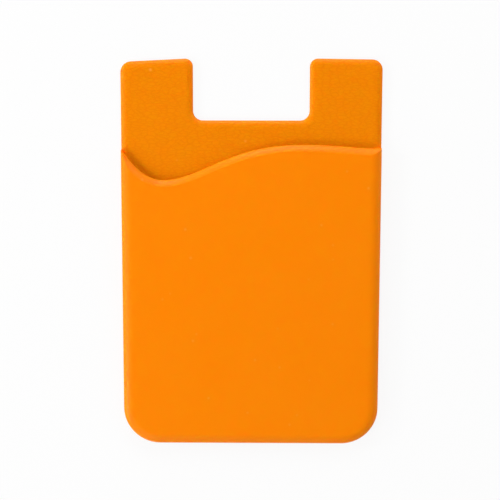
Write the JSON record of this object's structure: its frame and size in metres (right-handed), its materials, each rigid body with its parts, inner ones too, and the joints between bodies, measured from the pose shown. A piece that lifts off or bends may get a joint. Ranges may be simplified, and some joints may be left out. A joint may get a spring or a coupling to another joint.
{
  "type": "phone card holder",
  "caption": "Flat moulded silicone card sleeve with a wave-shaped pocket mouth and a thumb notch between lugs, with an adhesive back pad and its release liner.",
  "frame": {"origin": "middle of the footprint, on the underside of the release liner", "axes": "+Z out of the pocket's front face, +Y towards the two lugs, +X to the right seen from the front"},
  "size_m": [0.057, 0.086, 0.0033],
  "materials": {
    "silicone": "satin orange moulded silicone, fine leather grain on the exposed back plate",
    "adhesive": "milky translucent acrylic adhesive",
    "liner_paper": "smooth coated white release paper"
  },
  "bodies": {
    "root": {"sleeve": "silicone", "adhesive_pad": "adhesive", "release_liner": "liner_paper"}
  },
  "joints": []
}
